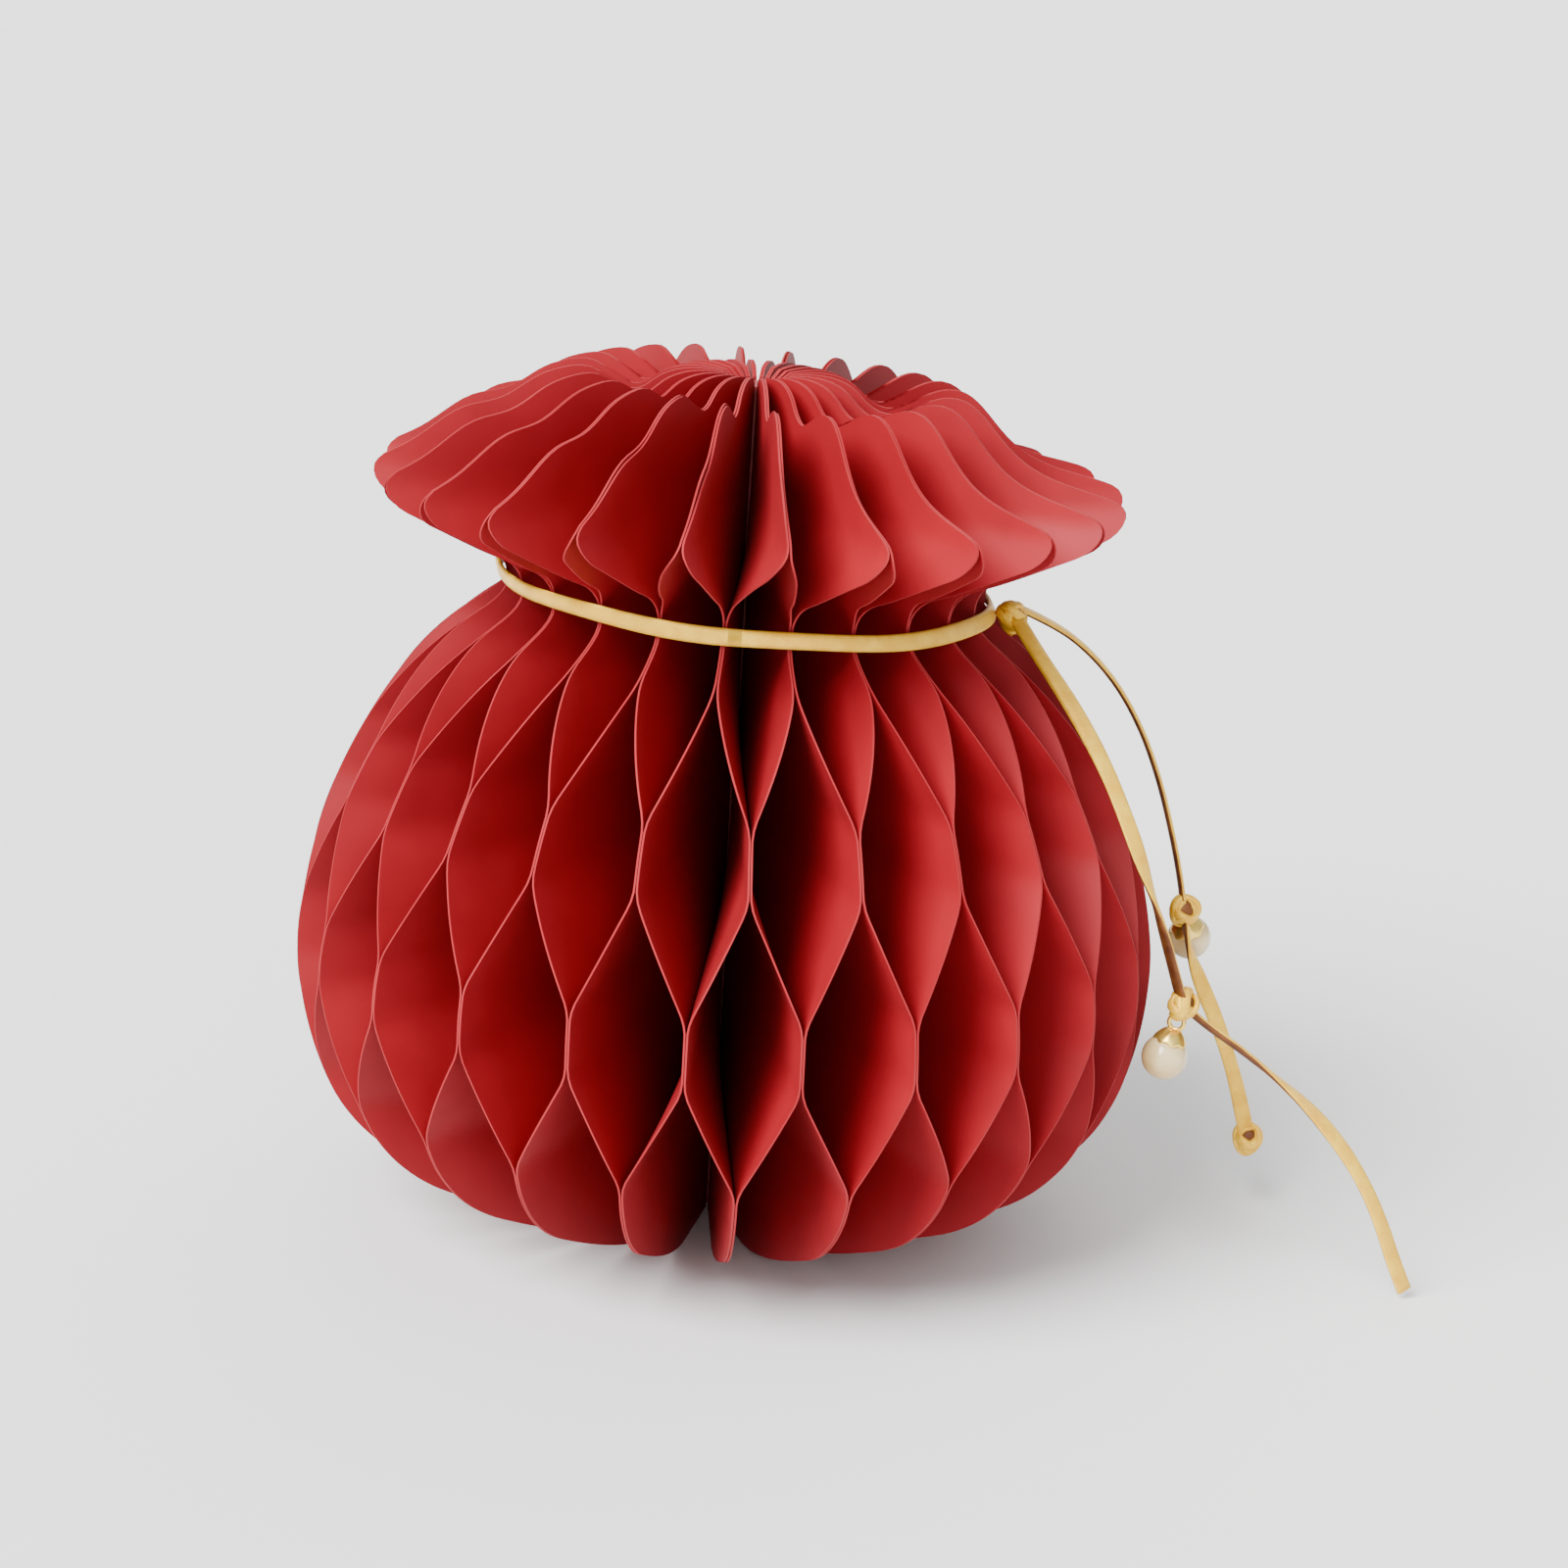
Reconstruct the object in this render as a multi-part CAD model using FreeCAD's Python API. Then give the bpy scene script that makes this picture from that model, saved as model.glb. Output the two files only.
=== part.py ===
"""Honeycomb paper lucky bag tied with a gold cord.

Forty-eight waved paper leaves stand in a ring about a vertical spine. Neighbouring leaves are
glued together on level strips, on one side at the 1st, 3rd and 5th level and on the other side
at the 2nd and 4th, so that every leaf waves from side to side on its way up and the ring opens
into diamond cells. Two end leaves meet at a seam and are held there by tape. A flat gold cord
is tied round the neck, and its two tails carry a pearl charm each.

Millimetres. Origin: centre of the bottom, on the table. +Z up, front is -Y, right is +X.
An azimuth is counted from the front, growing towards the right.
"""

import FreeCAD, Part
import math
import os

Vector = FreeCAD.Vector
UP = Vector(0, 0, 1)

# ---- driving dimensions ----
LEAF_COUNT = 48
PAPER = 0.36            # thickness of one leaf
GLUE_GAP = 0.10         # between the two leaves of a glued pair
SEAM_GAP = 0.40         # between the two end leaves, where the tape sits
SPINE_RADIUS = 4.2      # inner edges of the leaves
CORE_RADIUS = 3.5       # flexible glue along the spine
HEIGHT = 151.2          # at the spine

FIRST_STRIP = 23.1      # height of the middle of the lowest glue strip
STRIP_PITCH = 29.8
STRIP_COUNT = 5
STRIP_HEIGHT = 7.5
TOP_STRIP_FOOT = 134.5  # the highest strip reaches from here to the top
STRIP_BEND = 0.16       # share of a leaf's way between two strips that bends, at either end
BOTTOM_SPREAD = 0.04    # how far a pair springs apart below its lowest strip, 0 to 1
FLARE_TWIST = 2.5       # degrees by which the flare stands turned against the belly

FRONT_PAIR = 3.3        # azimuth of the glued pair nearest to the front
SEAM_PAIR = FRONT_PAIR + 90.0   # azimuth of the seam, on the knot's side

TAPE = 0.12             # thickness of the tape in the seam
TAPE_WIDTH = 9.0
TAPE_EDGE = 4.0         # from the leaf's outer edge to the tape

NECK_CORD_HEIGHT = 114.8
CORD_WIDTH = 2.8        # the cord is flat
CORD_THICKNESS = 0.8
NECK_CORD_RADIUS = 42.75        # middle of the cord's thickness
TAIL_DIAMETER = 2.2     # a round stand-in with about the section of the folded flat cord

NECK_KNOT = (45.9, -2.2, 113.6)
NECK_KNOT_RADII = (3.0, 3.4, 3.0)
CHARM_KNOT_RADII = (2.4, 2.4, 2.7)
PEARL_RADIUS = 4.0
CAP_RADIUS = 2.3
CAP_HEIGHT = 1.5
EYE_RADIUS = 1.3        # middle of the wire of the ring on a cap
EYE_WIRE = 0.4          # radius of that wire
END_RADIUS = 2.1        # the melted blob that seals the rear tail

LEAF_STEP = 360.0 / LEAF_COUNT
SPARE = 20.0            # by which a waved sheet is taller than the bag before it is trimmed
TWIST_FROM = FIRST_STRIP + 3 * STRIP_PITCH
TWIST_TO = FIRST_STRIP + 4 * STRIP_PITCH

# Outline of a leaf from the spine's foot to the spine's head, as (radius, height): straight
# lines have two points and curves are cubic Bezier arcs with four.
OUTLINE = [
    [(0, 0), (33, 0)],
    [(33, 0), (50, 0), (62, 9), (69.2, 21)],
    [(69.2, 21), (75.5, 31.5), (76.9, 47), (75.4, 56)],
    [(75.4, 56), (73.2, 72), (64, 97), (46.5, 109)],
    [(46.5, 109), (43.8, 110.9), (41.8, 112.5), (41.7, 114.5)],
    [(41.7, 114.5), (41.6, 117), (42.6, 119.8), (46.2, 121)],
    [(46.2, 121), (50, 122.3), (57, 126), (61.6, 128.2)],
    [(61.6, 128.2), (64.8, 129.8), (66.4, 133.3), (63.2, 134.6)],
    [(63.2, 134.6), (58.5, 136.4), (51, 136.6), (45.6, 141)],
    [(45.6, 141), (41.6, 144.2), (39.6, 148.2), (36.2, 149.6)],
    [(36.2, 149.6), (33.0, 150.8), (30.0, 149.4), (27.0, 147.6)],
    [(27.0, 147.6), (23.4, 145.4), (20.6, 146.4), (18.0, 149.2)],
    [(18.0, 149.2), (15.4, 152.0), (10.6, 152.8), (SPINE_RADIUS, 151.2)],
    [(SPINE_RADIUS, 151.2), (0, 151.2)],
]


# Routes of the two tails, from the knot at the neck, through the knot that holds the charm, to
# the free end. The front one lies on the belly, hangs, and springs out to rest on the table.
TAIL_FRONT = [
    (47.2, -3.6, 112.2),
    (50.9, -10.6, 107.6),
    (57.0, -18.6, 100.6),
    (62.8, -24.6, 92.0),
    (67.2, -28.0, 83.0),
    (71.0, -29.4, 74.0),
    (74.4, -29.0, 65.4),
    (77.2, -27.2, 57.4),
    (79.6, -24.6, 50.4),
    (84.6, -24.0, 46.4),
    (90.6, -25.6, 43.6),
    (96.8, -28.0, 40.2),
    (102.6, -30.0, 35.2),
    (107.8, -31.6, 28.6),
    (112.4, -32.8, 21.0),
    (116.6, -34.0, 13.0),
    (120.4, -35.2, 5.6),
    (124.2, -36.0, 1.3),
]
FRONT_CHARM_KNOT = 8    # index of the point of the route where the charm is tied

TAIL_REAR = [
    (47.4, -0.4, 113.4),
    (54.2, 2.6, 110.2),
    (60.6, 5.0, 105.6),
    (66.6, 6.8, 99.2),
    (71.8, 8.0, 91.0),
    (75.8, 8.8, 81.8),
    (78.8, 9.2, 72.6),
    (81.0, 9.0, 64.6),
    (82.4, 8.0, 57.6),
    (83.6, 6.6, 51.0),
    (86.4, 6.6, 44.6),
    (90.0, 7.8, 37.4),
    (93.2, 9.2, 29.8),
    (96.0, 10.6, 21.8),
    (98.4, 11.8, 13.4),
]
REAR_CHARM_KNOT = 8

FRONT_PEARL = (78.0, -23.4, 40.6)
REAR_PEARL = (84.4, 13.4, 51.0)


def save(node, shape):
    shape.exportStep(os.path.join("parts", node + ".step"))


def polar(radius, azimuth, height, sideways=0.0):
    """A point at a radius and azimuth, moved sideways towards growing azimuth."""
    a = math.radians(azimuth)
    return Vector(
        radius * math.sin(a) + sideways * math.cos(a),
        -radius * math.cos(a) + sideways * math.sin(a),
        height,
    )


def eased(t):
    t = min(max(t, 0.0), 1.0)
    return t * t * (3 - 2 * t)


def crossing(t):
    """0 to 1 along a straight line that bends into the level at either end."""
    t = min(max(t, 0.0), 1.0)
    if t > 0.5:
        return 1 - crossing(1 - t)
    if t < STRIP_BEND:
        return t * t / (2 * STRIP_BEND * (1 - STRIP_BEND))
    return (t - STRIP_BEND / 2) / (1 - STRIP_BEND)


def wave(height):
    """+1 where even leaves lean to their next neighbour, -1 where they lean to the last one."""
    half = STRIP_HEIGHT / 2
    if height <= FIRST_STRIP - half:
        return 1 - BOTTOM_SPREAD * eased((FIRST_STRIP - half - height) / FIRST_STRIP)
    n = min(max(int((height - FIRST_STRIP) // STRIP_PITCH), 0), STRIP_COUNT - 2)
    start = FIRST_STRIP + n * STRIP_PITCH + half
    end = TOP_STRIP_FOOT if n == STRIP_COUNT - 2 else start + STRIP_PITCH - STRIP_HEIGHT
    return (1 - 2 * crossing((height - start) / (end - start))) * (-1) ** n


def twist(height):
    return FLARE_TWIST * eased((height - TWIST_FROM) / (TWIST_TO - TWIST_FROM))


def outline_solid():
    """The whole bag's outer shape: the leaf's outline turned about the spine."""
    edges = []
    for points in OUTLINE:
        poles = [Vector(r, 0, z) for r, z in points]
        if len(poles) == 2:
            edges.append(Part.makeLine(*poles))
        else:
            curve = Part.BezierCurve()
            curve.setPoles(poles)
            edges.append(curve.toShape())
    edges.append(Part.makeLine(Vector(0, 0, HEIGHT), Vector()))
    return Part.Face(Part.Wire(edges)).revolve(Vector(), UP, 360)


def waved_slab(even, seam_side):
    """A waved sheet at azimuth 0, larger than the outline: its ends, where a loft is less
    exact, lie well outside. seam_side widens the gap to the neighbour across the seam."""
    side = 1 if even else -1
    wider = SEAM_GAP - GLUE_GAP if seam_side else 0.0
    step = STRIP_PITCH / 14
    first = -math.ceil((FIRST_STRIP + SPARE) / step)
    last = math.ceil((HEIGHT + SPARE - FIRST_STRIP) / step)
    sections = []
    for k in range(first, last + 1):
        z = FIRST_STRIP + k * step
        w = side * wave(z)
        azimuth = LEAF_STEP / 2 * w + twist(z)
        pair_gap = GLUE_GAP + wider * eased(w * side)
        middle = -w * (PAPER + pair_gap) / 2
        corners = [
            polar(r, azimuth, z, middle + s * PAPER / 2)
            for r, s in ((SPINE_RADIUS, -1), (82, -1), (82, 1), (SPINE_RADIUS, 1))
        ]
        sections.append(Part.makePolygon(corners + corners[:1]))
    return Part.makeLoft(sections, True, False)


def leaf_azimuth(number):
    """Mean azimuth of leaf 1 to 48: leaf 1 stands just past the seam."""
    return SEAM_PAIR + (number - 0.5) * LEAF_STEP


def make_leaves():
    body = outline_solid()
    shapes = {}
    for number in range(1, LEAF_COUNT + 1):
        even = number % 2 == 0
        seam_side = number in (1, LEAF_COUNT)
        if (even, seam_side) not in shapes:
            shapes[even, seam_side] = waved_slab(even, seam_side).common(body)
        leaf = shapes[even, seam_side].copy()
        leaf.rotate(Vector(), UP, leaf_azimuth(number))
        save(f"leaf_{number:02d}", leaf)


def outline_radius(height):
    level = Part.makeLine(Vector(0, 0, height), Vector(100, 0, height))
    return level.common(outline_solid()).BoundBox.XMax


def make_seam_tapes():
    """Three flat pads between the end leaves, one on each glue strip of the seam."""
    pads = []
    for level in (0, 2, 4):
        height = FIRST_STRIP + level * STRIP_PITCH
        outer = outline_radius(height) - TAPE_EDGE
        pad_height = STRIP_HEIGHT - 2
        pad = Part.makeBox(TAPE_WIDTH, TAPE, pad_height)
        pad.translate(Vector(outer - TAPE_WIDTH, -TAPE / 2, height - pad_height / 2))
        pad.rotate(Vector(), UP, SEAM_PAIR - 90 + twist(height))
        pads.append(pad)
    return Part.makeCompound(pads)


def make_neck_cord():
    outer = NECK_CORD_RADIUS + CORD_THICKNESS / 2
    inner = NECK_CORD_RADIUS - CORD_THICKNESS / 2
    foot = Vector(0, 0, NECK_CORD_HEIGHT - CORD_WIDTH / 2)
    band = Part.makeCylinder(outer, CORD_WIDTH, foot).cut(Part.makeCylinder(inner, CORD_WIDTH, foot))
    return band.makeFillet(CORD_THICKNESS * 0.4, band.Edges)


def ellipsoid(centre, radii):
    ball = Part.makeSphere(1.0)
    scale = FreeCAD.Matrix()
    scale.scale(*radii)
    shape = ball.transformGeometry(scale)
    shape.translate(Vector(*centre))
    return shape


def cord_tube(name, route, diameter):
    """A round tube along straight runs that tangent arcs join."""
    points = [Vector(*p) for p in route]
    edges, start = [], points[0]
    radii = []
    for last, here, after in zip(points, points[1:], points[2:]):
        back, ahead = (last - here), (after - here)
        reach = 0.45 * min(back.Length, ahead.Length)
        back.normalize()
        ahead.normalize()
        half_turn = (math.pi - back.getAngle(ahead)) / 2
        radius = reach / math.tan(half_turn)
        radii.append(round(radius, 1))
        middle = (back + ahead).normalize()
        entry, leave = here + back * reach, here + ahead * reach
        top = here + middle * (math.hypot(reach, radius) - radius)
        edges.append(Part.LineSegment(start, entry).toShape())
        edges.append(Part.Arc(entry, top, leave).toShape())
        start = leave
    edges.append(Part.LineSegment(start, points[-1]).toShape())
    path = Part.Wire(edges)
    direction = points[1] - points[0]
    section = Part.Wire(Part.makeCircle(diameter / 2, points[0], direction))
    tube = path.makePipeShell([section], True, True)
    expected = math.pi * diameter**2 / 4 * path.Length
    print(name, "length", round(path.Length, 1), "volume ratio", round(tube.Volume / expected, 4))
    print("  arc radii", radii)
    return tube


def make_charm(pearl_centre, knot_centre):
    """A pearl and its cap. The cap's ring points at the knot that holds it."""
    centre, knot = Vector(*pearl_centre), Vector(*knot_centre)
    ball = Part.makeSphere(PEARL_RADIUS)
    seat = Part.makeSphere(PEARL_RADIUS + 0.03)
    foot = Vector(0, 0, PEARL_RADIUS - 0.9)
    dome = Part.makeCone(CAP_RADIUS, CAP_RADIUS * 0.45, CAP_HEIGHT + 0.5, foot)
    eye_height = foot.z + CAP_HEIGHT + 0.5 + EYE_RADIUS
    eye = Part.makeTorus(EYE_RADIUS, EYE_WIRE, Vector(0, 0, eye_height), Vector(0, 1, 0))
    cap = dome.cut(seat).fuse(eye)
    turn = FreeCAD.Rotation(UP, knot - centre)
    place = FreeCAD.Placement(centre, turn)
    for shape in (ball, cap):
        shape.Placement = place.multiply(shape.Placement)
    return ball, cap


def make_tails():
    for name, route, knot_at, pearl in (
        ("front", TAIL_FRONT, FRONT_CHARM_KNOT, FRONT_PEARL),
        ("rear", TAIL_REAR, REAR_CHARM_KNOT, REAR_PEARL),
    ):
        tube = cord_tube(name, route, TAIL_DIAMETER)
        if name == "rear":
            tube = tube.fuse(Part.makeSphere(END_RADIUS, Vector(*route[-1])))
        ball, cap = make_charm(pearl, route[knot_at])
        save(f"tail_cord_{name}", tube)
        save(f"charm_knot_{name}", ellipsoid(route[knot_at], CHARM_KNOT_RADII))
        save(f"bead_cap_{name}", cap)
        save(f"pearl_{name}", ball)


def main():
    os.makedirs("parts", exist_ok=True)
    make_leaves()
    save("spine_glue_core", Part.makeCylinder(CORE_RADIUS, HEIGHT - 2, Vector(0, 0, 0.5)))
    save("seam_tapes", make_seam_tapes())
    save("neck_cord", make_neck_cord())
    save("neck_knot", ellipsoid(NECK_KNOT, NECK_KNOT_RADII))
    make_tails()


main()
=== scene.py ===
"""Honeycomb paper lucky bag: red waved leaves round a spine, a gold neck cord and two charms.

Metres, in the part's frame: +Z up, front -Y, right +X. An azimuth is in degrees, counted from
the front and growing towards the right.
"""

import math

import bmesh
import bpy
from mathutils import Matrix, Quaternion, Vector


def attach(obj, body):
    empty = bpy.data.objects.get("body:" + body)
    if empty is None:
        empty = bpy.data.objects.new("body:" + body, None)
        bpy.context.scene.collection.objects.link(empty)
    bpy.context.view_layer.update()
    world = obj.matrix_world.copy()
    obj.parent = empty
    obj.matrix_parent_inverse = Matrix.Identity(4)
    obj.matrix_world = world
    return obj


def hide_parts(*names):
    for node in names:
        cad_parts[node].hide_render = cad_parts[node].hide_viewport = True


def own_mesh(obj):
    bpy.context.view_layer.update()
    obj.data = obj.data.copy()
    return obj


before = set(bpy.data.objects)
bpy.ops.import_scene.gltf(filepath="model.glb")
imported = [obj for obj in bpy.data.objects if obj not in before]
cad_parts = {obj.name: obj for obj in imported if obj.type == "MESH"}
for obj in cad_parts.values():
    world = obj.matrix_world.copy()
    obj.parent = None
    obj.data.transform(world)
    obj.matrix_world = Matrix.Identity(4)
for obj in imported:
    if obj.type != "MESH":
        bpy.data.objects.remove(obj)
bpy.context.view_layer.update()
MM = 0.001

# ---- the part's dimensions, millimetres ----
LEAF_COUNT = 48
LEAF_STEP = 360.0 / LEAF_COUNT
PAPER = 0.32
PAIR_SPACING = 0.42         # between the middles of two glued leaves
SEAM_SPACING = 0.62         # the same at the taped seam
SPINE_RADIUS = 4.2
HEIGHT = 151.2              # at the spine
FIRST_STRIP = 23.1
STRIP_PITCH = 29.8
STRIP_COUNT = 5
STRIP_HEIGHT = 7.5
TOP_STRIP_FOOT = 134.5      # the highest strip reaches from here to the top
STRIP_BEND = 0.16           # share of the way between two strips that bends, at either end
BOTTOM_SPREAD = 0.04
FLARE_TWIST = 2.5
FRONT_PAIR = 3.3
SEAM_PAIR = FRONT_PAIR + 90.0
TWIST_FROM = FIRST_STRIP + 3 * STRIP_PITCH
TWIST_TO = FIRST_STRIP + 4 * STRIP_PITCH

# Outline of a leaf as (radius, height): cubic Bezier arcs, and straight lines with two points.
OUTLINE = [
    [(SPINE_RADIUS, 0), (22, 0)],
    [(22, 0), (30, 0.3), (42, 4.8), (53, 9.6)],
    [(53, 9.6), (60, 12.6), (65.2, 17), (69, 22.8)],
    [(69, 22.8), (75, 32.5), (76.9, 47), (75.4, 56)],
    [(75.4, 56), (73.2, 72), (64, 97), (46.5, 109)],
    [(46.5, 109), (43.8, 110.9), (41.8, 112.5), (41.7, 114.5)],
    [(41.7, 114.5), (41.6, 117), (42.6, 119.8), (46.2, 121)],
    [(46.2, 121), (50, 122.3), (57, 126), (61.6, 128.2)],
    [(61.6, 128.2), (64.8, 129.8), (66.4, 133.3), (63.2, 134.6)],
    [(63.2, 134.6), (58.5, 136.4), (51, 136.6), (45.6, 141)],
    [(45.6, 141), (41.6, 144.2), (39.6, 148.2), (36.2, 149.6)],
    [(36.2, 149.6), (33.0, 150.8), (30.0, 149.4), (27.0, 147.6)],
    [(27.0, 147.6), (23.4, 145.4), (20.6, 146.4), (18.0, 149.2)],
    [(18.0, 149.2), (15.4, 152.0), (10.6, 152.8), (SPINE_RADIUS, HEIGHT)],
]
NECK_HEIGHT = 114.5
SHOULDER = 5.2              # by which the crown's left shoulder stands higher
OUTLINE_STEP = 1.6          # between two rows of a leaf's mesh, along its outer edge
LEAF_COLUMNS = 18

# ---- the cords, millimetres ----
TAIL_FRONT = [
    (47.2, -3.6, 112.2),
    (50.9, -10.6, 107.6),
    (57.0, -18.6, 100.6),
    (62.8, -24.6, 92.0),
    (67.2, -28.0, 83.0),
    (71.0, -29.4, 74.0),
    (74.4, -29.0, 65.4),
    (77.2, -27.2, 57.4),
    (79.6, -24.6, 50.4),
    (84.6, -24.0, 46.4),
    (89.6, -24.4, 43.4),
    (96.3, -25.0, 38.7),
    (103.5, -25.6, 33.0),
    (109.7, -26.1, 26.2),
    (114.3, -26.5, 19.4),
    (117.7, -26.8, 12.5),
    (120.2, -27.0, 6.2),
    (122.6, -27.2, 1.2),
]
TAIL_REAR = [
    (47.4, -0.4, 113.4),
    (54.2, 2.6, 110.2),
    (60.6, 5.0, 105.6),
    (66.6, 6.8, 99.2),
    (71.8, 8.0, 91.0),
    (75.8, 8.8, 81.8),
    (78.8, 9.2, 72.6),
    (81.0, 9.0, 64.6),
    (82.4, 8.0, 57.6),
    (83.6, 6.6, 51.0),
    (86.4, 6.6, 44.6),
    (90.0, 7.8, 37.4),
    (93.2, 9.2, 29.8),
    (96.0, 10.6, 21.8),
    (98.4, 11.8, 13.4),
]
CHARM_KNOT = 8              # index of the point of either tail where its charm is tied
CORD_WIDTH = 2.9            # the cord is flat
CORD_THICKNESS = 1.1
NECK_CORD_RADIUS = 42.95    # middle of the cord's thickness
NECK_CORD_HEIGHT = 114.8
NECK_CORD_DROP = 1.7        # by which the neck cord is lower at the knot
NECK_KNOT = (46.5, -2.4, 112.0)
FRONT_PEARL = (77.3, -24.4, 40.8)
REAR_PEARL = (84.4, 13.4, 51.0)
PEARL_RADIUS = 4.0
PEARL_BORE = 0.55           # radius of the drilled hole
PEARL_LIP = 0.25            # width of the hole's rounded lip
PEARL_STEPS = 30
CAP_RADIUS = 2.75
CAP_CLEARANCE = 0.05        # between the pearl and the inside of its cap
CAP_HEIGHT = 2.3            # from the cap's rim to the foot of its ring
CAP_DOME = [(2.97, 0.12), (2.8, 0.5), (2.2, 1.35), (1.6, 2.0), (1.0, 2.4), (0.5, 2.5)]
CAP_SCALLOPS = 8
SCALLOP_DEPTH = 0.28
LATHE_SIDES = 48
EYE_RADIUS = 1.3            # middle of the wire of the ring on a cap
EYE_WIRE = 0.8              # its thickness
NECK_KNOT_SIZE = (2.5, 2.7, 3.5)        # half the knot's extent along each axis
CHARM_KNOT_SIZE = (2.7, 2.7, 2.9)
END_KNOT_SIZE = (2.5, 2.3, 3.0)
KNOT_BAND = 1.7             # width of the cord drawn tight in a knot
KNOT_POINTS = 48            # in one turn of a knot
SWEEP_SIDES = 14            # of a cord's section
TAPE_THICKNESS = 0.12
TAPE_WIDTH = 9.0
TAPE_HEIGHT = STRIP_HEIGHT - 2
TAPE_CORNER = 1.0           # radius of a pad's corner
TAPE_EDGE = 4.0             # from the leaf's outer edge to the tape


# ---- small helpers ----
def eased(t):
    t = min(max(t, 0.0), 1.0)
    return t * t * (3 - 2 * t)


def crossing(t):
    """0 to 1 along a straight line that bends into the level at either end."""
    t = min(max(t, 0.0), 1.0)
    if t > 0.5:
        return 1 - crossing(1 - t)
    if t < STRIP_BEND:
        return t * t / (2 * STRIP_BEND * (1 - STRIP_BEND))
    return (t - STRIP_BEND / 2) / (1 - STRIP_BEND)


def wave(height):
    """+1 where even leaves lean to their next neighbour, -1 where they lean to the last one."""
    half = STRIP_HEIGHT / 2
    if height <= FIRST_STRIP - half:
        return 1 - BOTTOM_SPREAD * eased((FIRST_STRIP - half - height) / FIRST_STRIP)
    n = min(max(int((height - FIRST_STRIP) // STRIP_PITCH), 0), STRIP_COUNT - 2)
    start = FIRST_STRIP + n * STRIP_PITCH + half
    end = TOP_STRIP_FOOT if n == STRIP_COUNT - 2 else start + STRIP_PITCH - STRIP_HEIGHT
    return (1 - 2 * crossing((height - start) / (end - start))) * (-1) ** n


def twist(height):
    return FLARE_TWIST * eased((height - TWIST_FROM) / (TWIST_TO - TWIST_FROM))


def outward(azimuth):
    a = math.radians(azimuth)
    return Vector((math.sin(a), -math.cos(a), 0))


def sideways(azimuth):
    a = math.radians(azimuth)
    return Vector((math.cos(a), math.sin(a), 0))


def bezier(points, t):
    if len(points) == 2:
        weights = (1 - t, t)
    else:
        weights = ((1 - t) ** 3, 3 * t * (1 - t) ** 2, 3 * t * t * (1 - t), t**3)
    return tuple(sum(w * p[i] for w, p in zip(weights, points)) for i in (0, 1))


def new_mesh(name, verts, faces, materials, face_material=None, smooth=True):
    """A mesh object from points in millimetres."""
    mesh = bpy.data.meshes.new(name)
    mesh.from_pydata([tuple(c * MM for c in v) for v in verts], [], faces)
    for material in materials:
        mesh.materials.append(material)
    if face_material is not None:
        mesh.polygons.foreach_set("material_index", face_material)
    mesh.polygons.foreach_set("use_smooth", [smooth] * len(faces))
    mesh.validate()
    mesh.update()
    piece = bpy.data.objects.new(name, mesh)
    bpy.context.scene.collection.objects.link(piece)
    return piece


# ---- materials ----
def material(name, roughness, metallic=0.0, **sockets):
    mat = bpy.data.materials.new(name)
    mat.use_nodes = True
    shader = mat.node_tree.nodes["Principled BSDF"]
    shader.inputs["Roughness"].default_value = roughness
    shader.inputs["Metallic"].default_value = metallic
    for socket, value in sockets.items():
        shader.inputs[socket.replace("_", " ")].default_value = value
    return mat


def add(mat, kind, links=None, **values):
    """Adds a node. links: its input name -> an output socket; values: its own settings."""
    node = mat.node_tree.nodes.new(kind)
    for key, value in values.items():
        setattr(node, key, value)
    for key, value in (links or {}).items():
        socket = node.inputs[key]
        if isinstance(value, bpy.types.NodeSocket):
            mat.node_tree.links.new(value, socket)
        else:
            socket.default_value = value
    return node


def plug(mat, output, socket):
    shader = mat.node_tree.nodes["Principled BSDF"]
    mat.node_tree.links.new(output, shader.inputs[socket])


def mottled(mat, colors, scale, detail=4.0):
    """Colour that wanders between two tones; returns the noise."""
    where = add(mat, "ShaderNodeTexCoord").outputs["Object"]
    noise = add(mat, "ShaderNodeTexNoise", {"Vector": where, "Scale": scale, "Detail": detail})
    ramp = add(mat, "ShaderNodeValToRGB", {"Fac": noise.outputs["Fac"]})
    for stop, place, color in zip(ramp.color_ramp.elements, (0.3, 0.7), colors):
        stop.position = place
        stop.color = (*color, 1)
    plug(mat, ramp.outputs["Color"], "Base Color")
    return noise


def bumped(mat, height, distance, strength=0.5):
    bump = add(mat, "ShaderNodeBump", {"Height": height, "Distance": distance * MM,
                                       "Strength": strength})
    plug(mat, bump.outputs["Normal"], "Normal")


def paper_material(name, low, high, roughness):
    """Dyed card: soft cloudy tone, and a fine pressed fibre grain."""
    mat = material(name, roughness, Specular_IOR_Level=0.28)
    mottled(mat, (low, high), 70.0)
    where = add(mat, "ShaderNodeTexCoord").outputs["Object"]
    grain = add(mat, "ShaderNodeTexNoise", {"Vector": where, "Scale": 2600.0, "Detail": 6.0,
                                            "Roughness": 0.7})
    bumped(mat, grain.outputs["Fac"], 0.05, 0.35)
    return mat


def cord_material():
    """Satin gold cord: fine slanted strands that shine along their length."""
    mat = material("gold_satin_cord", 0.34, 0.35)
    mottled(mat, ((0.84, 0.43, 0.012), (1.0, 0.63, 0.045)), 300.0)
    uv = add(mat, "ShaderNodeUVMap", uv_map="UVMap").outputs["UV"]
    slanted = add(mat, "ShaderNodeMapping", {"Vector": uv, "Rotation": (0, 0, 0.6)}).outputs[0]
    strands = add(mat, "ShaderNodeTexWave", {"Vector": slanted, "Scale": 1.1,
                                             "Distortion": 1.6, "Detail": 2.0,
                                             "Detail Scale": 2.0})
    bumped(mat, strands.outputs["Fac"], 0.12, 0.6)
    return mat


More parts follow.
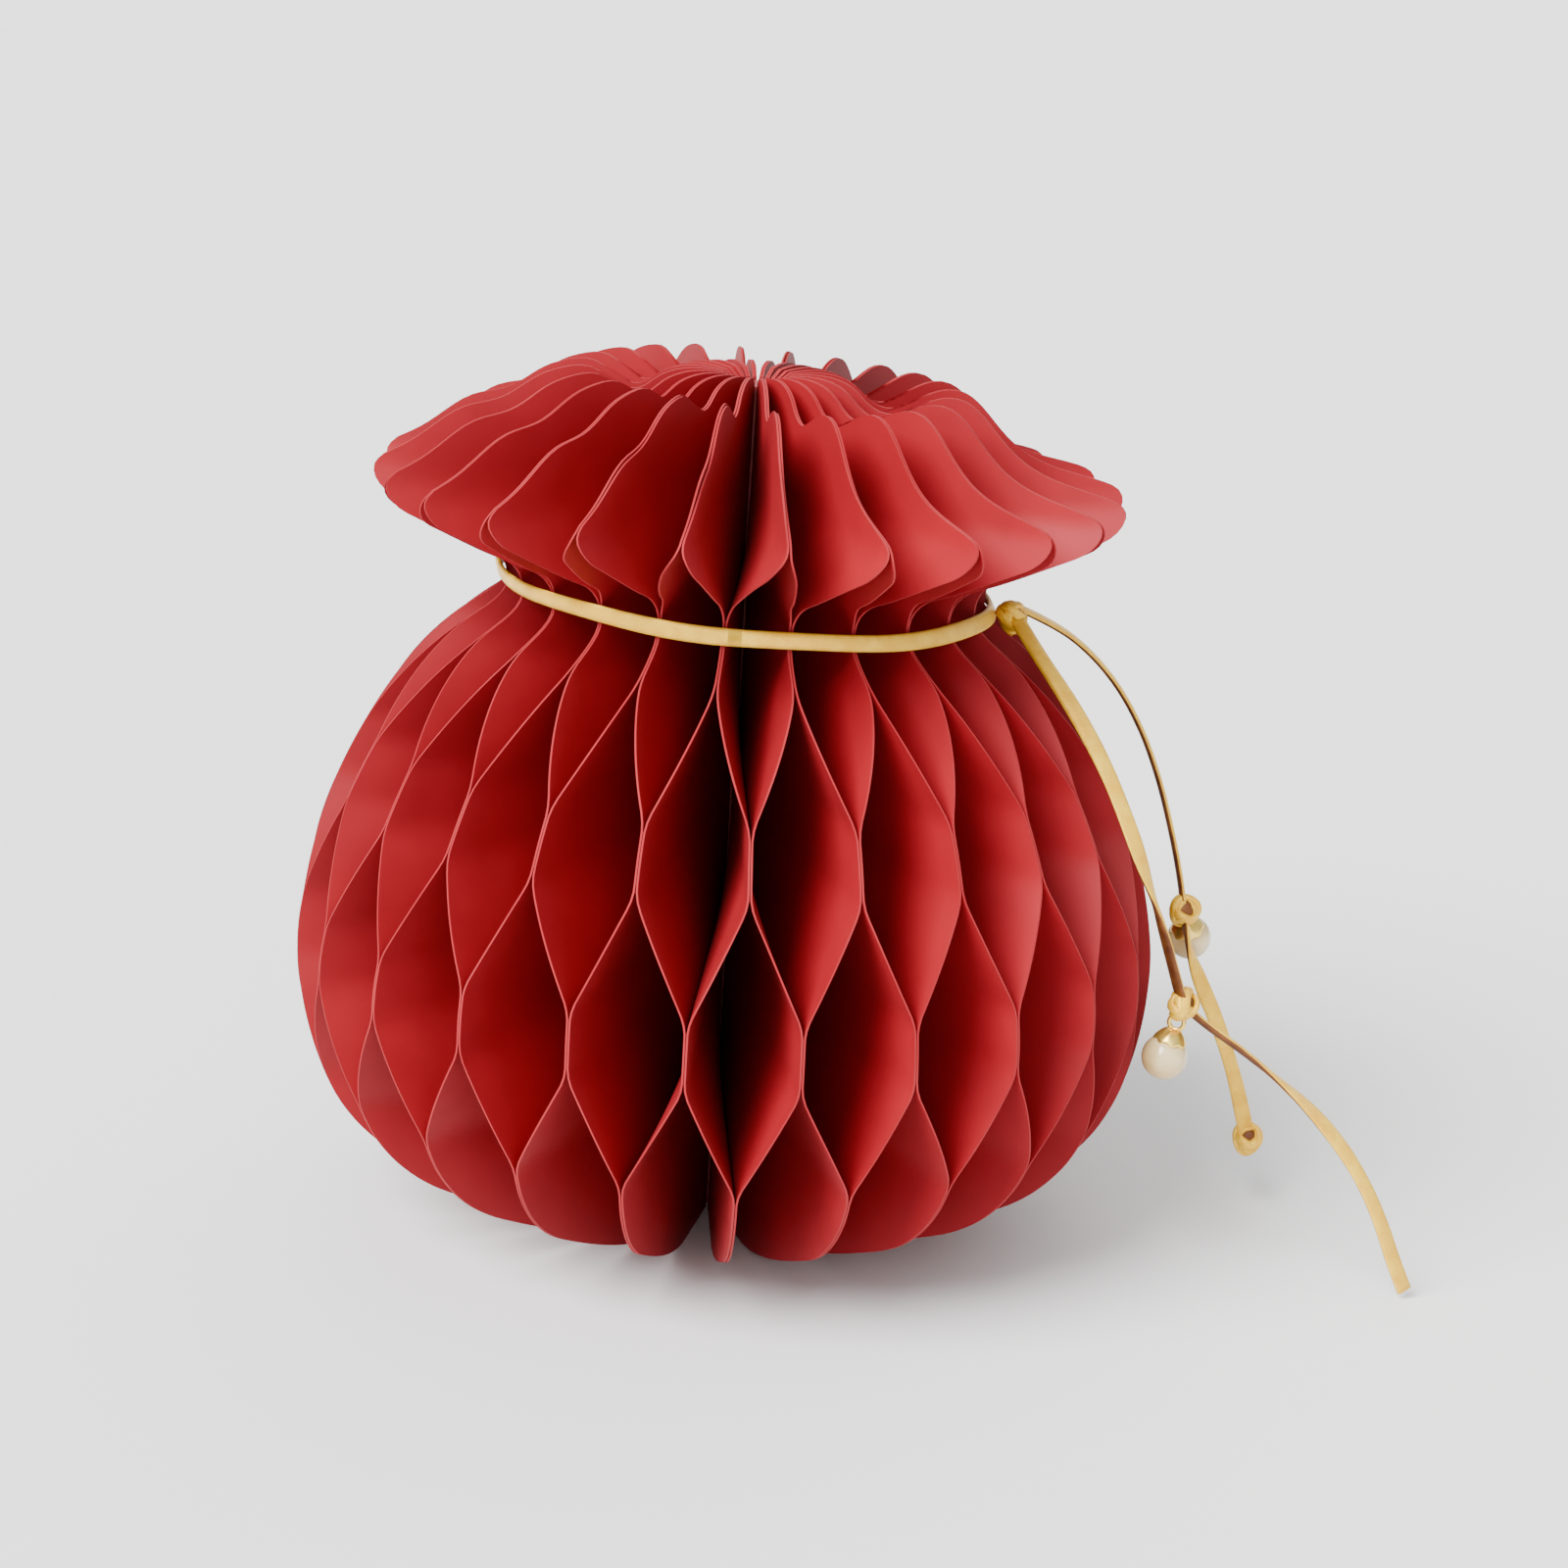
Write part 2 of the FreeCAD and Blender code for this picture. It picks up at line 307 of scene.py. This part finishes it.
RED_PAPER = paper_material("red_paper", (0.245, 0.0030, 0.0080), (0.292, 0.0048, 0.011), 0.6)
CUT_EDGE = paper_material("paper_cut_edge", (0.29, 0.008, 0.013), (0.34, 0.022, 0.026), 0.8)
GOLD_CORD = cord_material()
# Painted shade: dark brown on the back half of each tail and in the core of each knot, standing
# in for the shadow that falls there.
CORD_PAINTED_SHADE = material("gold_cord_painted_shade", 0.55, 0.3)
mottled(CORD_PAINTED_SHADE, ((0.08, 0.017, 0.003), (0.20, 0.065, 0.010)), 300.0)
CORD_FIBRE = material("cord_core", 0.9)
mottled(CORD_FIBRE, ((0.66, 0.58, 0.44), (0.86, 0.82, 0.72)), 900.0)
GOLD_METAL = material("gold_metal", 0.28, 0.85)
worn = mottled(GOLD_METAL, ((0.86, 0.54, 0.07), (1.0, 0.76, 0.20)), 420.0)
bumped(GOLD_METAL, worn.outputs["Fac"], 0.04, 0.4)
PEARL = material("pearl", 0.22, 0.0, Coat_Weight=0.6, Coat_Roughness=0.08)
mottled(PEARL, ((0.62, 0.41, 0.15), (0.80, 0.63, 0.34)), 160.0, 2.0)
GLUE = material("spine_glue", 0.55)
mottled(GLUE, ((0.16, 0.004, 0.005), (0.26, 0.008, 0.008)), 300.0)
TAPE = material("seam_tape", 0.5)
mottled(TAPE, ((0.72, 0.66, 0.56), (0.84, 0.80, 0.72)), 300.0)


# ---- camera and light ----
def make_camera():
    """The viewpoint: in front, a little above, and turned so that the bag leans right."""
    distance, elevation, roll = 0.6715, math.radians(15.76), math.radians(3.38)
    target = Vector((0, 0, 0.0729))
    data = bpy.data.cameras.new("camera")
    data.lens, data.sensor_width = 87.1, 36.0
    data.shift_x, data.shift_y = 0.0335, 0.019
    camera = bpy.data.objects.new("camera", data)
    place = target + distance * Vector((0, -math.cos(elevation), math.sin(elevation)))
    look = (target - place).to_track_quat("-Z", "Y")
    camera.matrix_world = (
        Matrix.Translation(place) @ look.to_matrix().to_4x4() @ Matrix.Rotation(roll, 4, "Z")
    )
    bpy.context.scene.collection.objects.link(camera)
    bpy.context.scene.camera = camera


def sun(name, azimuth, elevation, strength, spread):
    data = bpy.data.lights.new(name, "SUN")
    data.energy, data.angle = strength, math.radians(spread)
    lamp = bpy.data.objects.new(name, data)
    e = math.radians(elevation)
    towards = outward(azimuth) * math.cos(e) + Vector((0, 0, math.sin(e)))
    lamp.rotation_euler = towards.to_track_quat("Z", "Y").to_euler()
    bpy.context.scene.collection.objects.link(lamp)


def make_studio():
    sun("key", -46, 43, 8.2, 40)
    sun("fill", -8, 28, 1.5, 60)
    sun("back", 165, 40, 1.4, 60)
    world = bpy.data.worlds.new("studio")
    world.use_nodes = True
    background = world.node_tree.nodes["Background"]
    background.inputs["Color"].default_value = (1, 1, 1, 1)
    background.inputs["Strength"].default_value = 0.62
    bpy.context.scene.world = world
    bpy.ops.mesh.primitive_plane_add(size=14)
    floor = bpy.context.object
    floor.name = "floor"
    floor.location.z = -0.0004
    pale = material("floor", 0.9)
    mottled(pale, ((0.86, 0.86, 0.855), (0.88, 0.88, 0.875)), 3.0)
    floor.data.materials.append(pale)


# ---- cords ----
def smooth_line(name, route):
    """Points of the NURBS curve whose control points are the route, millimetres."""
    data = bpy.data.curves.new(name + "_line", "CURVE")
    data.dimensions = "3D"
    data.resolution_u = 12
    spline = data.splines.new("NURBS")
    spline.points.add(len(route) - 1)
    for point, place in zip(spline.points, route):
        point.co = (*place, 1)
    spline.order_u = 3
    spline.use_endpoint_u = True
    guide = bpy.data.objects.new(name + "_line", data)
    mesh = bpy.data.meshes.new_from_object(guide)
    points = [v.co.copy() for v in mesh.vertices]
    bpy.data.objects.remove(guide)
    bpy.data.curves.remove(data)
    bpy.data.meshes.remove(mesh)
    return points


def flat_sweep(name, line, facing, width, thickness, mats, spin=None, cyclic=False):
    """A flat cord along a line. facing: the direction its broad side looks at the start;
    width and spin (degrees by which it is turned): functions of the share of the length.
    mats: one material, or those of the face, the back and the cut ends."""
    around = SWEEP_SIDES
    verts, normal = [], Vector(facing)
    spin = spin or (lambda share: 0)
    total = sum((b - a).length for a, b in zip(line, line[1:]))
    run, uvs = 0.0, []
    for i, here in enumerate(line):
        last = line[i - 1] if i or cyclic else here
        after = line[(i + 1) % len(line)] if i + 1 < len(line) or cyclic else here
        along = (after - last).normalized()
        normal = (normal - along * normal.dot(along)).normalized()
        share = run / total
        turned = Quaternion(along, math.radians(spin(share))) @ normal
        side = along.cross(turned)
        w = width(share)
        for k in range(around):
            a = 2 * math.pi * k / around
            c, s = math.cos(a), math.sin(a)
            across = math.copysign(abs(c) ** 0.7, c) * w / 2
            up = math.copysign(abs(s) ** 0.8, s) * thickness / 2
            verts.append(here + side * across + turned * up)
            uvs.append((run, k * (w + thickness) * 2 / around))
        if i + 1 < len(line):
            run += (line[i + 1] - here).length
    faces, kinds = [], []
    rings = len(line)
    for i in range(rings if cyclic else rings - 1):
        for k in range(around):
            a, b = i * around, ((i + 1) % rings) * around
            n = (k + 1) % around
            faces.append((b + k, b + n, a + n, a + k))
            # The back half of the section takes the second material; on the tails that material
            # is painted shade.
            kinds.append(1 if k >= around / 2 and len(mats) > 1 else 0)
    if not cyclic:
        faces.append(tuple(range(around)))
        faces.append(tuple(range((rings - 1) * around, rings * around))[::-1])
        kinds += [len(mats) - 1] * 2
    piece = new_mesh(name, verts, faces, mats, kinds)
    layer = piece.data.uv_layers.new(name="UVMap")
    for loop in piece.data.loops:
        layer.data[loop.index].uv = uvs[loop.vertex_index]
    return piece


def worn_width(share):
    """The cord's width, which is not quite even."""
    return CORD_WIDTH * (1 - 0.07 * math.sin(23 * share + 1) * math.sin(9 * share))


def make_tail(name, route, facing, spin):
    line = smooth_line(name, route)
    # The tail's back half is coloured with painted shade.
    tail = flat_sweep(name, line, facing, worn_width, CORD_THICKNESS,
                      [GOLD_CORD, CORD_PAINTED_SHADE, CORD_FIBRE], spin)
    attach(tail, "spine_and_cord")
    return tail


def joined(name, parts):
    """One piece of several objects."""
    with bpy.context.temp_override(active_object=parts[0], selected_editable_objects=parts):
        bpy.ops.object.join()
    parts[0].name = name
    return parts[0]


def make_knot(name, centre, size, turns):
    """A small tight knot in the flat cord: bands crossing over a core coloured with painted
    shade.
    turns: for each band, the azimuth and the tilt of its axis in degrees."""
    centre, size = Vector(centre), Vector(size)
    parts = []
    for k, (azimuth, tilt) in enumerate(turns):
        t = math.radians(tilt)
        axis = outward(azimuth) * math.cos(t) + Vector((0, 0, math.sin(t)))
        first = axis.orthogonal().normalized()
        second = axis.cross(first)
        ring = []
        for i in range(KNOT_POINTS):
            a = 2 * math.pi * i / KNOT_POINTS
            reach = 0.70 + 0.07 * k + 0.06 * math.sin(3 * a + 2 * k)
            lean = 0.20 * math.sin(2 * a + k)
            spoke = (first * math.cos(a) + second * math.sin(a)) * reach + axis * lean
            ring.append(centre + spoke * size)
        parts.append(flat_sweep(f"{name}_{k}", ring, ring[0] - centre, lambda share: KNOT_BAND,
                                CORD_THICKNESS, [GOLD_CORD], cyclic=True))
    # The knot's core is painted shade: a dark brown lump that stands in for the shadow between
    # the bands.
    painted_shade_heart = bpy.data.meshes.new(name)
    form = bmesh.new()
    bmesh.ops.create_icosphere(form, subdivisions=3, radius=1.0)
    for vert in form.verts:
        ripple = 0.74 + 0.05 * math.sin(5 * vert.co.x + 3) * math.sin(6 * vert.co.z)
        vert.co = (centre + vert.co * ripple * size) * MM
    form.to_mesh(painted_shade_heart)
    form.free()
    painted_shade_heart.materials.append(CORD_PAINTED_SHADE)
    painted_shade_heart.polygons.foreach_set("use_smooth", [True] * len(painted_shade_heart.polygons))
    core = bpy.data.objects.new(name + "_heart", painted_shade_heart)
    bpy.context.scene.collection.objects.link(core)
    knot = joined(name, parts + [core])
    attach(knot, "spine_and_cord")
    return knot


def make_neck_cord():
    """The cord tied round the neck, which hangs lower at the knot."""
    ring = []
    for azimuth in range(0, 360, 3):
        a = math.radians(azimuth)
        radius = NECK_CORD_RADIUS + 0.1 * math.sin(5 * a)
        height = NECK_CORD_HEIGHT - NECK_CORD_DROP * math.sin(a) + 0.2 * math.sin(7 * a)
        ring.append(outward(azimuth) * radius + Vector((0, 0, height)))
    band = flat_sweep("gold_neck_cord", ring, outward(0), worn_width, CORD_THICKNESS, [GOLD_CORD],
                      lambda share: -6 - 22 * math.sin(2 * math.pi * share), cyclic=True)
    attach(band, "spine_and_cord")
    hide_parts("neck_cord")


# ---- charms ----
def lathe(name, profile, centre, axis, mat, scallop=0.0):
    """A turned form round an axis. profile: its closed section as (radius, height) points.
    scallop: depth of the scallops, which grow with the radius."""
    around = LATHE_SIDES
    aim = Vector((0, 0, 1)).rotation_difference(axis)
    verts = []
    for radius, height in profile:
        for k in range(around):
            a = 2 * math.pi * k / around
            flute = scallop * math.cos(CAP_SCALLOPS * a) * radius / PEARL_RADIUS
            spot = Vector((math.cos(a), math.sin(a), 0)) * (radius + 0.5 * flute)
            spot.z = height - flute
            verts.append(Vector(centre) + aim @ spot)
    faces = []
    for i in range(len(profile)):
        j = (i + 1) % len(profile)
        for k in range(around):
            n = (k + 1) % around
            faces.append((i * around + k, i * around + n, j * around + n, j * around + k))
    return new_mesh(name, verts, faces, [mat])


def make_charm(side, centre, knot):
    """A drilled pearl bead, and the scalloped cap and ring that it hangs by."""
    axis = (Vector(knot) - Vector(centre)).normalized()
    bore_end = PEARL_RADIUS - 0.5
    section = [(PEARL_BORE, -bore_end), (PEARL_BORE, bore_end)]
    low = math.asin((PEARL_BORE + PEARL_LIP) / PEARL_RADIUS)
    for k in range(PEARL_STEPS + 1):
        a = low + (math.pi - 2 * low) * k / PEARL_STEPS
        section.append((PEARL_RADIUS * math.sin(a), PEARL_RADIUS * math.cos(a)))
    pearl = lathe(f"pearl_bead_{side}", section[::-1], centre, axis, PEARL)
    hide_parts(f"pearl_{side}")

    inner = PEARL_RADIUS + CAP_CLEARANCE
    rim = math.asin(CAP_RADIUS / inner)
    under = [(inner * math.sin(rim * k / 8), inner * math.cos(rim * k / 8)) for k in range(1, 9)]
    edge = under[-1][1]
    over = [(radius, edge + rise) for radius, rise in CAP_DOME]
    dome = lathe(f"cap_dome_{side}", under + over, centre, axis, GOLD_METAL, SCALLOP_DEPTH)
    top = Vector(centre) + axis * (edge + CAP_HEIGHT + EYE_RADIUS)
    across = axis.cross(Vector((0.4, 1, 0))).normalized()
    ring = [top + (axis * math.cos(a) + across * math.sin(a)) * EYE_RADIUS
            for a in (2 * math.pi * k / 32 for k in range(32))]
    eye = flat_sweep(f"cap_eye_{side}", ring, axis, lambda share: EYE_WIRE, EYE_WIRE,
                     [GOLD_METAL], cyclic=True)
    cap = joined(f"gold_bead_cap_{side}", [dome, eye])
    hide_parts(f"bead_cap_{side}")
    for piece in (pearl, cap):
        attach(piece, "spine_and_cord")
    return [pearl, cap]


# ---- leaves ----
def outline_rows():
    """Rows of a leaf's mesh, foot to head: the outer point of each, as (radius, height), and the
    height at which it starts from the spine. Under the uneven crown the rows fan upwards."""
    points = []
    for arc in OUTLINE[1:]:
        reach = sum(math.dist(a, b) for a, b in zip(arc, arc[1:]))
        steps = max(2, round(reach / OUTLINE_STEP))
        points += [bezier(arc, k / steps) for k in range(steps)]
    points.append(OUTLINE[-1][-1])
    runs = [0.0]
    for a, b in zip(points, points[1:]):
        runs.append(runs[-1] + math.dist(a, b) * (b[1] > NECK_HEIGHT))
    rows = []
    for (radius, height), run in zip(points, runs):
        share = (run / runs[-1]) ** 1.4
        start = height if not run else NECK_HEIGHT + (HEIGHT - NECK_HEIGHT) * share
        rows.append((radius, height, start))
    return rows[:-1]


ROWS = outline_rows()


def shoulder(azimuth, radius, height):
    """Extra height of the crown's outer edge, which stands higher on the left."""
    if height < TOP_STRIP_FOOT:
        return 0.0
    left = eased(0.5 + 0.9 * math.cos(math.radians(azimuth + 95)))
    return left * (
        SHOULDER * math.exp(-(((radius - 50) / 8) ** 2))
        + 0.6 * SHOULDER * math.exp(-(((radius - 27) / 6) ** 2))
    )


def wander(azimuth, radius, height):
    """A slight unevenness of the whole honeycomb, in degrees: neighbours share it."""
    a = math.radians(azimuth)
    return radius / 75 * (
        0.45 * math.sin(3 * a + height / 17) + 0.30 * math.sin(5 * a - height / 11 + 1.3)
    )


def make_leaf(number):
    mean = SEAM_PAIR + (number - 0.5) * LEAF_STEP
    side = 1 if number % 2 == 0 else -1
    at_seam = number in (1, LEAF_COUNT)
    verts = []
    for face in (-1, 1):
        for outer, top, start in ROWS:
            for column in range(LEAF_COLUMNS + 1):
                share = column / LEAF_COLUMNS
                radius = SPINE_RADIUS + (outer - SPINE_RADIUS) * share
                height = start + (top - start) * share
                w = side * wave(height)
                spacing = PAIR_SPACING
                if at_seam:
                    spacing += (SEAM_SPACING - PAIR_SPACING) * eased(w * side)
                offset = -w * spacing / 2 + face * PAPER / 2
                a = mean + LEAF_STEP / 2 * w + twist(height)
                a += wander(mean + LEAF_STEP / 2 * w, radius, height)
                lift = share * shoulder(mean, outer, top)
                verts.append(
                    outward(a) * radius + sideways(a) * offset + Vector((0, 0, height + lift))
                )
    rows, columns = len(ROWS), LEAF_COLUMNS + 1
    sheet = rows * columns
    faces, kinds = [], []
    for i in range(rows - 1):
        for j in range(columns - 1):
            a = i * columns + j
            quad = (a, a + 1, a + columns + 1, a + columns)
            faces += [quad, tuple(sheet + v for v in reversed(quad))]
            kinds += [0, 0]
    rim = (
        [j for j in range(columns)]
        + [i * columns + columns - 1 for i in range(1, rows)]
        + [(rows - 1) * columns + j for j in range(columns - 2, -1, -1)]
        + [i * columns for i in range(rows - 2, 0, -1)]
    )
    for a, b in zip(rim, rim[1:] + rim[:1]):
        faces.append((b, a, a + sheet, b + sheet))
        kinds.append(1)
    leaf = new_mesh(f"paper_leaf_{number:02d}", verts, faces, [RED_PAPER, CUT_EDGE], kinds)
    leaf.data.set_sharp_from_angle(angle=math.radians(50))
    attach(leaf, f"fold_{number:02d}")
    flatten(leaf)
    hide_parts(f"leaf_{number:02d}")


def flatten(piece):
    """Gives the piece a mesh of its own."""
    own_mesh(piece)


def outline_radius(height):
    """Radius of the leaf's outer edge at a height below the crown."""
    low, high = next(
        (a, b) for a, b in zip(ROWS, ROWS[1:]) if a[1] <= height <= b[1] and b[1] > a[1])
    return low[0] + (high[0] - low[0]) * (height - low[1]) / (high[1] - low[1])


def make_seam_tapes():
    """Three flat pads of tape that close the ring of leaves, on the glue strips of the seam."""
    verts, faces = [], []
    for level in (0, 2, 4):
        middle = FIRST_STRIP + level * STRIP_PITCH
        azimuth = SEAM_PAIR + twist(middle)
        outer = outline_radius(middle) - TAPE_EDGE
        first = len(verts)
        corners = []
        for sx, sz in ((-1, -1), (1, -1), (1, 1), (-1, 1)):
            for k in range(5):
                a = math.atan2(sz, sx) + math.radians(22.5 * (k - 2))
                x = sx * (TAPE_WIDTH / 2 - TAPE_CORNER) + TAPE_CORNER * math.cos(a)
                z = sz * (TAPE_HEIGHT / 2 - TAPE_CORNER) + TAPE_CORNER * math.sin(a)
                corners.append((x, z))
        for face in (-0.5, 0.5):
            for x, z in corners:
                turn = azimuth + wander(azimuth, outer, middle + z)
                verts.append(outward(turn) * (outer - TAPE_WIDTH / 2 + x)
                             + sideways(turn) * face * TAPE_THICKNESS
                             + Vector((0, 0, middle + z)))
        n = len(corners)
        faces.append(tuple(range(first, first + n)))
        faces.append(tuple(range(first + 2 * n - 1, first + n - 1, -1)))
        for k in range(n):
            j = (k + 1) % n
            faces.append((first + j, first + k, first + n + k, first + n + j))
    tapes = new_mesh("seam_tape_pads", verts, faces, [TAPE], smooth=False)
    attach(tapes, "fold_01")
    flatten(tapes)
    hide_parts("seam_tapes")


make_camera()
make_studio()
FRONT_CHARM = make_charm("front", FRONT_PEARL, TAIL_FRONT[CHARM_KNOT])
REAR_CHARM = make_charm("rear", REAR_PEARL, TAIL_REAR[CHARM_KNOT])
NECK_TIE = make_knot("gold_neck_knot", NECK_KNOT, NECK_KNOT_SIZE,
                     [(20, 8), (75, -20), (130, 35), (50, 75)])
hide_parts("neck_knot")
FRONT_CHARM.append(make_knot("gold_charm_knot_front", TAIL_FRONT[CHARM_KNOT], CHARM_KNOT_SIZE,
                             [(30, 15), (110, 40), (-20, 70), (75, -25)]))
REAR_CHARM.append(make_knot("gold_charm_knot_rear", TAIL_REAR[CHARM_KNOT], CHARM_KNOT_SIZE,
                            [(60, 25), (-30, 30), (10, 75), (20, -10)]))
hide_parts("charm_knot_front")
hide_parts("charm_knot_rear")
REAR_CHARM.append(make_knot("gold_tail_end_knot", TAIL_REAR[-1], END_KNOT_SIZE,
                            [(40, 10), (-60, 45), (0, 82), (-10, 5)]))
tail_front = make_tail(
    "gold_tail_front", TAIL_FRONT, (0.3, -1, 0.3),
    lambda s: -96 * eased((s - 0.30) / 0.16) + 80 * eased((s - 0.62) / 0.2))
tail_rear = make_tail(
    "gold_tail_rear", TAIL_REAR, (0.6, -0.45, 1.0),
    lambda s: -17 + 82 * eased((s - 0.62) / 0.12))
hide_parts("tail_cord_front")
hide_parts("tail_cord_rear")
make_neck_cord()
for leaf_number in range(1, LEAF_COUNT + 1):
    make_leaf(leaf_number)
make_seam_tapes()
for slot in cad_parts["spine_glue_core"].material_slots:
    slot.material = GLUE
